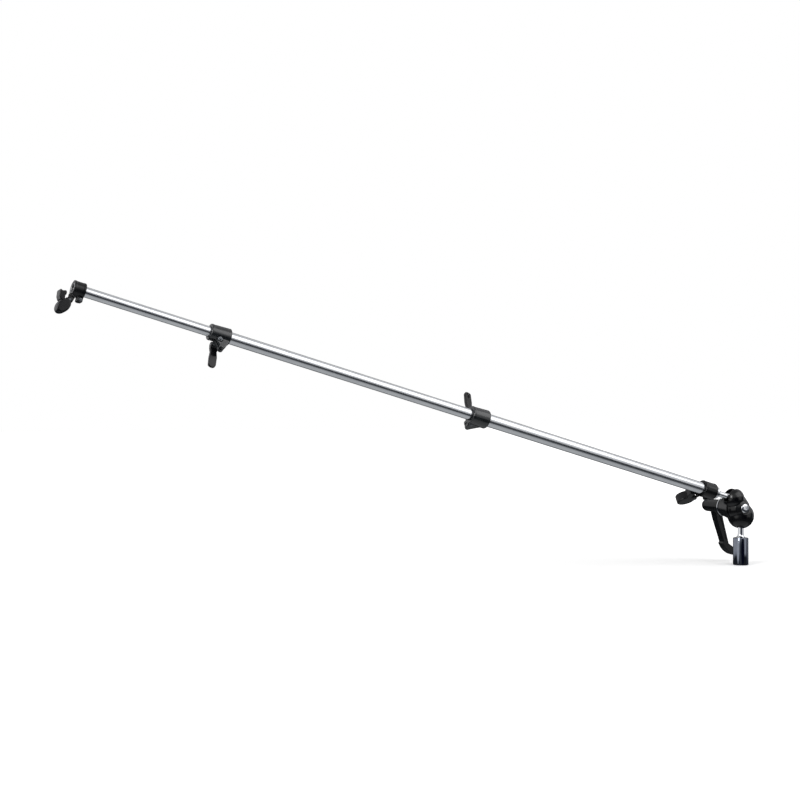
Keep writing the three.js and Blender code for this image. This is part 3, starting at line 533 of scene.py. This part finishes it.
def housing():
    lower, upper, bolt = (0, 0, 0), (0, 0, UPPER_BALL), (0, 0, BOLT_PLACE)
    front = [(0, -20.8), (9.8, -20.8), (11, -20), (17, -14.5), (21.6, -7), (23.4, 0), (0, 0)]
    rear = [(0, 0), (26.5, 0), (18, 34), (17.4, 35.4), (16, 36), (0, 36)]
    body = union(
        ball(24.5, lower),
        ball(19.5, upper),
        turned([(0, 8), (20.4, 8), (16.4, 31), (0, 31)]),
        shift(turned(front, "Y"), bolt),
        shift(turned(rear, "Y"), bolt),
    )
    melt(body, 0.8, 10)
    cavity, cup = ball(BALL + SEAT, lower), ball(BALL + SEAT, upper)
    upper_mouth = turn_by(mouth(60), Matrix.Translation(upper) @ Matrix.Rotation(math.pi, 4, "Y"))
    hole = shift(rod(BOLT_HOLE, -26, 38, "Y"), bolt)
    spot = [(0, -30), (14, -30), (9.7, -22), (9.7, FRONT_FACE), (0, FRONT_FACE)]
    seat = shift(turned(spot, "Y"), bolt)
    pocket = shift(rod(4.5, -6, 6, "Y"), bolt)
    melt(cut(body, cavity, cup, mouth(39), upper_mouth, hole, pocket, seat), 0.6, 3)
    only(body)
    bpy.ops.object.duplicate()
    back = bpy.context.object
    cut(body, block((-60, -SPLIT, -60), (60, 60, 90)))
    cut(back, block((-60, -60, -60), (60, SPLIT, 90)))
    settle(body, "front_shell", head, "housing", enamel, "housing_front")
    settle(back, "back_shell", head, "housing", enamel, "housing_back")


def bolt_head():
    seat = FRONT_FACE - SEAT
    profile = [(0, seat - 2.8), (3.2, seat - 2.75), (5.4, seat - 2.45), (7.0, seat - 1.9),
               (8.0, seat - 1.2), (8.5, seat - 0.5), (8.5, seat), (2.5, seat), (2.5, 49.3), (0, 49.3)]
    socket = turned([
        (0, seat - 6), (2.7, seat - 6), (2.4, seat - 2.7), (2.4, seat - 1.1), (0, seat - 0.9)], "Y", 6)
    settle(cut(turned(profile, "Y"), socket), "bolt", bolt_axis, "housing", chrome, "clamp_bolt")


def head_spring():
    turns = 5
    points = coil(3.6, turns, 10.5 / turns)
    settle(wire(points, 0.41), "parting_spring", bolt_axis, "housing", zinc, "housing_spring")


def lever_coil():
    """The spring that pulls the lever's teeth together, which lifting the lever presses shorter; here it
    is made once, at the length of the lever_spring part.
    """
    low, high = (corner[1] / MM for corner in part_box("lever_spring"))
    turns, radius = 5, 0.5
    points = coil(5.8, turns, (high - low - 2 * radius) / turns)
    piece = shift(wire(points, radius), (0, (low + high) / 2, 0))
    settle(piece, "lever_coil", bolt_axis, "clamp_nut", zinc, "lever_spring")
    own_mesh(piece)


def washer():
    profile = [(BOLT_HOLE, 36.5), (3.1, 36.3), (17.6, 36.3), (18.2, 36.6), (18.4, 37.1),
               (18.4, 37.6), (18.2, 38.0), (17.6, 38.3), (3.1, 38.3), (BOLT_HOLE, 38.1),
               (BOLT_HOLE, 36.5)]
    settle(turned(profile, "Y", 96), "clamp_ring", bolt_axis, "clamp_nut", chrome, "clamp_washer")


def clamp_lever():
    hub = turned([
        (0, 38.9), (12.8, 38.9), (13.1, 39.6), (13.1, 41), (12.6, 42.2), (11.9, 82), (11.8, 84.4),
        (0, 84.4)], "Y")
    line = [(0, 0, 9), (4.6, -21.8, 7.65), (12.9, -47.3, 6.3), (21.2, -72.8, 5.4)]
    foot = [(13.8, -69.2, 3.15), (23, -77.4, 6.5), (34.5, -85.5, 7), (48.3, -91, 5.4)]
    bars = [plate(ribbon(each), 55.9, 69.9, "Y") for each in (line, foot)]
    lever = melt(union(hub, *bars), 0.55, 12)
    groove = [(2, -18, 2.6), (5.4, -25, 3.6), (12.9, -47.3, 3), (18.6, -65, 1.7)]
    sides = [plate(ribbon(groove), low, high, "Y", 0.6) for low, high in ((54, 56.9), (69, 71))]
    star = []
    for i in range(2 * LEVER_TEETH):
        radius = (6.95, 6.05)[(i + 1) % 2]
        angle = math.pi * i / LEVER_TEETH
        star.append((radius * math.cos(angle), radius * math.sin(angle)))
    spring_room, bore = rod(8.3, 36, 41.3, "Y"), rod(7, 45.3, 87, "Y")
    teeth = plate(star, 41.0, 45.6, "Y")
    cut(lever, *sides, spring_room, teeth, bore)
    settle(lever, "lever", bolt_axis, "clamp_lever", black_moulded, "lever_handle")
    dome = [(11.8 * math.cos(math.radians(a)), 84.9 + 11.3 * math.sin(math.radians(a)))
            for a in range(6, 90, 6)]
    cap = turned([(0, 76.7), (6.4, 76.7), (6.7, 77), (6.7, 84.7), (11.4, 84.7), (11.8, 84.9)] + dome
                 + [(0, 96.2)], "Y")
    settle(cap, "cap", bolt_axis, "clamp_lever", black_moulded, "lever_cap")


def upper_stud():
    start, end = BALL_FLAT + SEAT, 53.5
    profile = [(0, start), (NECK, start), (NECK, 41.4), (4.3, 42.2), (STUD_SHANK, 42.3),
               (STUD_SHANK, end), (0, end)]
    settle(turned(profile, "X"), "upper_neck", arm, "arm", chrome, "upper_stud")


# ---------------------------------------------------------------- tubes

THICK, MID, THIN = 11, 9.5, 8  # radii


def end_plug():
    hole, insert, end = STUD_SHANK + SEAT, 9.6, 58
    profile = [(hole, 42.5), (10.2, 42.5), (10.8, 42.7), (THICK, 43.2), (THICK, 46.5), (10.8, 46.9),
               (insert, 47), (insert, end), (hole, end), (hole, 42.5)]
    settle(turned(profile, "X", 96), "plug", arm, "arm", tube_finish, "end_plug")


def tube(name, node_name, body, radius, wall, low, high):
    inner = radius - wall
    profile = [(inner, low + 0.2), (inner + 0.2, low), (radius - 0.3, low), (radius, low + 0.3),
               (radius, high - 0.3), (radius - 0.3, high), (inner + 0.2, high), (inner, high - 0.2),
               (inner, low + 0.2)]
    settle(turned(profile, "X", 96), name, arm, body, tube_finish, node_name)


def tip_plug():
    low, face, rim = 1280.2, 1290.9, 1292.1
    profile = [(0, low), (6.7, low), (6.7, 1291.7), (6.3, rim), (5.2, rim), (4.4, face), (0, face)]
    settle(turned(profile, "X"), "tube_plug", arm, "inner_section", black_moulded, "tip_plug")


# ---------------------------------------------------------------- tube locks


def tube_lock(name, at, ahead, sweep, turn, large, small, wall, length, opened, body, lever_body):
    """A slit collar on the step between two tubes, closed by a cam lever on an eye bolt."""
    radius, half = large + wall, 16.5
    drop = small + 4.3
    ear_end = radius + 9
    pin = 14.5
    where = along_arm(at, turn)

    collar = turned([
        (0, -half), (radius - 0.9, -half), (radius, -half + 0.9), (radius - 1.1, half - 3.8),
        (radius - 0.7, half - 3.3), (radius - 0.8, half - 0.7), (radius - 1.6, half), (0, half)], "X", 96)
    outline = [(ahead + 4.6 + sweep / 2, -small - 1)] + arc((ahead - sweep, -ear_end), 4.6, 0, -150, 14)
    outline += [(-half + 0.8, -radius * 0.8), (-half + 0.8, -small - 1)]
    collar = cut(
        union(collar, plate(outline, -7.2, 7.2, "Y", 0.8)),
        rod(small + SEAT, -half - PAST, half + PAST, "X", 96),
        rod(large + SEAT, -half - PAST, -5.3, "X", 96),
        block((ahead - 6.7, -radius - PAST, -ear_end - 7), (ahead + 6.7, -7.18, -drop + 5.9)),
        block((-half + 5, -1.2, -ear_end - 7), (half + PAST, 1.2, -1)),
        shift(rod(BOLT_HOLE, -30, 30, "Y"), (ahead, 0, -drop)),
        shift(rod(4.9, 4.6, 9.2, "Y"), (ahead, 0, -drop)),
    )
    melt(collar, 0.5, 4)
    settle(collar, name + "_clamp", where, body, moulded, name + "_collar")

    nut = cut(plate(arc((0, 0), 4.6, 0, 300, 5), 4.9, 8.4, "Y", 0.35), rod(BOLT_HOLE, 0, 12, "Y"))
    settle(shift(nut, (ahead, 0, -drop)), name + "_hex", where, body, zinc, name + "_nut")
    shank = turned([(0, -pin), (2.5, -pin), (2.5, 9.3), (2.1, 9.8), (0, 9.8)], "Y")
    eye = shift(turned([(0, -2.4), (3.2, -2.4), (3.5, -2.1), (3.5, 2.1), (3.2, 2.4), (0, 2.4)], "X"),
                (0, -pin, 0))
    eye_bolt = cut(union(shank, eye), shift(rod(1.8, -9, 9, "X"), (0, -pin, 0)))
    settle(shift(eye_bolt, (ahead, 0, -drop)), name + "_eye", where, body, zinc, name + "_bolt")
    disc = turned([(BOLT_HOLE, -9.0), (5.3, -9.0), (5.6, -8.8), (5.6, -7.7), (5.3, -7.5),
                   (BOLT_HOLE, -7.5), (BOLT_HOLE, -9.0)], "Y")
    settle(shift(disc, (ahead, 0, -drop)), name + "_disc", where, body, zinc, name + "_washer")
    dowel = turned([(0, -6.7), (1.3, -6.7), (1.5, -6.5), (1.5, 6.5), (1.3, 6.7), (0, 6.7)], "X")
    settle(shift(dowel, (ahead, -pin, -drop)), name + "_dowel", where, body, zinc, name + "_pin")

    side = [(-4.2, 2.35), (-4.2, -4.7), (-5.8, -length / 2), (-7.4, -length + 2.9),
            (-6.6, -length + 0.3), (-5.1, -length - 0.4), (-3.4, -length + 0.4),
            (-2.8, -length + 2.9), (0.4, -length / 2), (1.3, -4.7), (1.3, 2.35)]
    front = [(6.6, 5.6), (-6.6, 5.6), (-6.6, -4.7), (-5, -length * 0.3), (-6.2, -length * 0.55)]
    front += arc((0, -length + 6.2), 6.2, 180, 360, 16)
    front += [(6.2, -length * 0.55), (5, -length * 0.3), (6.6, -4.7)]
    cam = shift(rod(4.7, -6.4, 6.4, "X"), (0, 0.5, 0))
    bar = union(cam, plate(side, -6.4, 6.4, "X"))
    bar = combine(bar, "INTERSECT", plate(front, -16, 16, "Y"))
    bar = melt(bar, 0.45, 10)
    scoop = turn_by(ball(9), Matrix.Translation((0, -13.4, -length + 8.5)) @ Matrix.Diagonal(
        (0.42, 1, 1, 1)))
    cut(
        bar,
        scoop,
        rod(3.8, -2.7, 2.7, "X"),
        block((-2.7, 0, -3.8), (2.7, 16, 3.8)),
        block((-2.7, -16, 0), (2.7, 16, 16)),
        rod(1.8, -9, 9, "X"),
    )
    swing = where @ Matrix.Translation((ahead * MM, -pin * MM, -drop * MM)) @ Matrix.Rotation(
        math.radians(-opened), 4, "X")
    settle(bar, name + "_handle", swing, lever_body, black_moulded, name + "_lever")


# ---------------------------------------------------------------- clips


def rim_clip(name, tip, length, turn, tube_radius, blade, wide, middle, droop, body, jaw_body):
    """A slit collar on a tube's end, with a sprung jaw that has a horn and a thumb paddle."""
    radius = tube_radius + 4.1
    where = along_arm(tip, turn)
    hinge = (1, -radius - 7.2)
    at_hinge = (hinge[0], 0, hinge[1])
    bead = radius + 0.35
    pin_hole, screw_hole = 2.2, 1.9
    barrel = turned([
        (0, -length), (radius - 0.6, -length), (bead, -length + 0.6), (bead, -length + 3),
        (radius, -length + 3.6), (radius, -3.6), (bead, -3), (bead, -0.6), (radius - 0.6, 0), (0, 0)],
        "X", 96)
    outline = arc(hinge, 5.4, 0, -180, 14)
    outline += [(hinge[0] - 9, -radius * 0.8), (-0.6, -radius * 0.8), (-0.6, -radius - 3),
                (hinge[0] + 2.7, -radius - 3)]
    lugs = [plate(outline, low, high, "Y", 0.4) for low, high in ((-5.9, -3.4), (3.4, 5.9))]
    pad_low = -radius - 1.6
    web = block((-3.9, -6.6, pad_low - 0.6), (0, 6.6, -tube_radius - 0.6), 0.4)
    ears = block((-length + 0.2, -6, -radius - 6), (-length + 9, 6, -tube_radius - 0.6), 1.2)
    collar = union(barrel, *lugs, web, ears)
    screw_place = (-length + 4.5, 0, -radius - 3)
    cut(
        collar,
        rod(tube_radius + SEAT, -length - PAST, PAST, "X", 96),
        block((-length - PAST, -1, -radius - 8), (-9, 1, -1)),
        shift(rod(pin_hole, -30, 30, "Y"), at_hinge),
        shift(rod(screw_hole, -20, 20, "Y"), screw_place),
    )
    melt(collar, 0.5, 4)
    settle(collar, name + "_clamp", where, body, black_moulded, name + "_collar")

    shank = turned([(0, -8.9), (1.4, -8.9), (1.6, -8.7), (1.6, 6.3), (2.7, 6.3), (3, 6.6), (3, 7.7),
                    (2.4, 8.4), (1.2, 8.6), (0, 8.6)], "Y")
    drive = turned([(0, 7.4), (1.5, 7.4), (1.5, 11), (0, 11)], "Y", 6)
    settle(shift(cut(shank, drive), screw_place), name + "_pinch", where, body, zinc, name + "_screw")
    nut = cut(plate(arc((0, 0), 3, 0, 300, 5), -8.7, -6.3, "Y", 0.3), rod(screw_hole, -12, 0, "Y"))
    settle(shift(nut, screw_place), name + "_hex", where, body, zinc, name + "_nut")
    dowel = turned([(0, -9.3), (1.6, -9.3), (1.9, -9), (1.9, 9), (1.6, 9.3), (0, 9.3)], "Y")
    settle(shift(dowel, at_hinge), name + "_dowel", where, body, zinc, name + "_pin")

    points = [Vector(point) for point in coil(3.1, turns=3.25, pitch=1.5, start=90)]
    for first, second, place in ((points[0], points[1], 0), (points[-1], points[-2], len(points) + 1)):
        leg = first - second
        leg.y = 0
        points.insert(place, first + leg.normalized() * 3.6)
    settle(shift(wire(points, 0.45), at_hinge), name + "_torsion", where, body, zinc, name + "_spring")

    pad_high = pad_low + 5
    for part, x, owner in (("pad", 0.3, body), ("jaw_pad", 7.4, jaw_body)):
        pad = block((x, -6, pad_low), (x + 1.3, 6, pad_high), 0.3)
        settle(pad, f"{name}_{part}_face", where, owner, rubber, f"{name}_{part}")

    face, outer, top = 8, 17.5, 11.6
    horn = [(0, -4.7), (outer * 0.8, -4.2), (outer * 0.95, 0.9), (outer, top * 0.75),
            (outer * 0.97, top), (outer * 0.78, top - 1.8), ((face + outer) * 0.45, top - 1.1),
            (face, top), (face, 0), (5.7, -1.6), (0, 2.8)]
    lean = math.radians(droop)
    along, aside = (math.cos(lean), -math.sin(lean)), (math.sin(lean), math.cos(lean))
    paddle = []
    steps = 32
    for i in range(steps):
        angle = 2 * math.pi * i / steps
        reach, out = middle + blade * math.cos(angle), wide * math.sin(angle)
        paddle.append((reach * along[0] + out * aside[0], reach * along[1] + out * aside[1]))
    jaw = union(
        plate(horn, -8.95, 8.95, "Y", 0.8),
        plate(paddle, -9, 9, "Y", 2.4),
        plate(arc((0, 0), 4.7, 0, 345, 23), -8.85, 8.85, "Y", 0.8),
    )
    cut(jaw, rod(8, -6.2, 6.2, "Y", 64))
    melt(jaw, 0.5, 6)
    saddle = shift(rod(tube_radius + 0.6, -length, 30, "X", 64), (-hinge[0], 0, -hinge[1]))
    cut(jaw, rod(pin_hole, -12, 12, "Y"), saddle)
    settle(shift(jaw, at_hinge), name + "_lever", where, jaw_body, black_moulded, name + "_jaw")


# ---------------------------------------------------------------- the object

spigot_socket()
side_screw_knob()
lower_stud()
flatted_ball("ball_below", Matrix.Translation((0, 0, LOWER_BALL * MM)), "lower_ball", "lower_ball")
housing()
bolt_head()
head_spring()
washer()
lever_coil()
clamp_lever()
flatted_ball("ball_above", Matrix.Translation(arm.translation) @ Matrix.Rotation(
    math.pi / 2 + ARM_RISE, 4, "Y"), "upper_ball", "upper_ball")
upper_stud()
end_plug()
tube("thick_tube", "outer_tube", "arm", THICK, 1.1, 47.3, 567.7)
tube("mid_tube", "middle_tube", "middle_section", MID, 1.1, 510, 1049.2)
tube("thin_tube", "inner_tube", "inner_section", THIN, 1, 770, 1292.2)
tip_plug()
tube_lock("outer_lock", at=573, ahead=6, sweep=0, turn=-50, large=THICK, small=MID, wall=5,
          length=47, opened=90, body="arm", lever_body="outer_lever")
tube_lock("middle_lock", at=1054.5, ahead=1, sweep=6, turn=30, large=MID, small=THIN, wall=4.4,
          length=38, opened=0, body="middle_section", lever_body="middle_lever")
rim_clip("near_clip", tip=79.3, length=28, turn=-50, tube_radius=THICK, blade=17, wide=10,
         middle=15.5, droop=50, body="arm", jaw_body="near_jaw")
rim_clip("far_clip", tip=1292.5, length=18.5, turn=6, tube_radius=THIN, blade=12.8, wide=8.8,
         middle=12.6, droop=60, body="inner_section", jaw_body="far_jaw")

kept = {
    brass: ("lever_insert",),
    zinc: ("lever_screw",),
    nylon: ("middle_bush", "inner_bush"),
}
for finish, names in kept.items():
    for name in names:
        cad_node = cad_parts[name]
        if not cad_node.material_slots:
            cad_node.data.materials.append(finish[0])
        for slot in cad_node.material_slots:
            slot.material = finish[0]

# ---------------------------------------------------------------- studio

deselect()
bpy.ops.mesh.primitive_plane_add(size=24, location=(0, 0, -0.0006))
floor = bpy.context.object
floor.name = "floor"
paper = bpy.data.materials.new("white_paper")
paper.use_nodes = True
tree = paper.node_tree
tree.nodes.clear()
ray = node(tree, "ShaderNodeLightPath")
way = node(tree, "ShaderNodeTexCoord").outputs["Object"]
far = node(tree, "ShaderNodeVectorMath", {"operation": "DISTANCE"}, {0: way, 1: (-0.4, 0, 0)})
lift = node(tree, "ShaderNodeMapRange", None, {
    "Value": far.outputs["Value"], "From Min": 0.3, "From Max": 2.0,
    "To Min": 0.18, "To Max": 0.7}).outputs["Result"]
glow = node(tree, "ShaderNodeMath", {"operation": "MULTIPLY"},
            {0: lift, 1: ray.outputs["Is Camera Ray"]}).outputs["Value"]
sheet = node(tree, "ShaderNodeBsdfPrincipled", None, {
    "Base Color": linear("#fbfbfb"), "Roughness": 0.9, "Specular IOR Level": 0.0,
    "Emission Color": linear("#ffffff"), "Emission Strength": glow})
node(tree, "ShaderNodeOutputMaterial", None, {"Surface": sheet.outputs["BSDF"]})
floor.data.materials.append(paper)
floor.visible_glossy = False

# The room: white to the camera. In reflections it has the grey of the floor and darker flags behind
# the object and beside the camera, which draw the dark lines on tubes and bright metal.
world = bpy.data.worlds.new("studio")
bpy.context.scene.world = world
world.use_nodes = True
tree = world.node_tree
tree.nodes.clear()
ray = node(tree, "ShaderNodeLightPath")
way = node(tree, "ShaderNodeTexCoord").outputs["Generated"]
parts = node(tree, "ShaderNodeSeparateXYZ", None, {"Vector": way})
height = node(tree, "ShaderNodeMapRange", None,
              {"Value": parts.outputs["Z"], "From Min": -1.0, "From Max": 1.0}).outputs["Result"]
ring = ramp_of(tree, height, [
    (0.0, "#c4c6c8"), (0.12, "#b4b6b9"), (0.17, "#4a4d51"), (0.395, "#2c2f33"), (0.43, "#d0d1d3"),
    (0.47, "#e6e6e8"), (0.85, "#e6e6e8"), (1.0, "#b8b9bb")])


def zone(under, towards, start, full, code):
    """Shades the room in one direction: from one cosine, where it starts, to one where it is full."""
    made = node(tree, "ShaderNodeVectorMath", {"operation": "DOT_PRODUCT"}, {0: way, 1: towards})
    share = node(tree, "ShaderNodeMapRange", None, {
        "Value": made.outputs["Value"], "From Min": start, "From Max": full}).outputs["Result"]
    mixed = node(tree, "ShaderNodeMix", {"data_type": "RGBA"}, {0: share, 6: under, 7: linear(code)})
    return mixed.outputs[2]


seen = zone(ring, (0.5, 0.866, 0.0), 0.72, 0.92, "#2b2e32")
seen = zone(seen, (-0.65, -0.755, -0.1), 0.9, 0.97, "#5f6369")
seen = zone(seen, (-0.16, -0.985, -0.06), 0.88, 0.93, "#12162a")
seen = zone(seen, (-0.985, -0.17, -0.06), 0.93, 0.97, "#ffffff")
seen = zone(seen, (0.93, -0.36, -0.06), 0.93, 0.97, "#4e545e")
shiny = node(tree, "ShaderNodeMath", {"operation": "MAXIMUM"},
             {0: ray.outputs["Is Glossy Ray"], 1: ray.outputs["Is Transmission Ray"]}).outputs["Value"]
reflected = node(tree, "ShaderNodeBackground", None, {"Color": seen, "Strength": 1.0})
ambient = node(tree, "ShaderNodeBackground", None, {"Color": linear("#ffffff"), "Strength": 0.55})
plain = node(tree, "ShaderNodeBackground", None, {"Color": linear("#ffffff"), "Strength": 1.0})
first = node(tree, "ShaderNodeMixShader", None,
             {0: shiny, 1: ambient.outputs["Background"], 2: reflected.outputs["Background"]})
second = node(tree, "ShaderNodeMixShader", None, {
    0: ray.outputs["Is Camera Ray"], 1: first.outputs["Shader"], 2: plain.outputs["Background"]})
node(tree, "ShaderNodeOutputWorld", None, {"Surface": second.outputs["Shader"]})


def softbox(name, place, turn, width, height, power):
    light = bpy.data.lights.new(name, "AREA")
    light.shape = "RECTANGLE"
    light.size, light.size_y, light.energy = width, height, power
    lamp = bpy.data.objects.new(name, light)
    bpy.context.scene.collection.objects.link(lamp)
    lamp.location = place
    lamp.rotation_euler = [math.radians(angle) for angle in turn]


softbox("key_softbox", (-3.0, -1.1, 1.5), (66, 0, -66), 1.0, 1.6, 45)
softbox("top_softbox", (0.9, -1.5, 1.7), (48, 0, 25), 2.8, 1.9, 26)
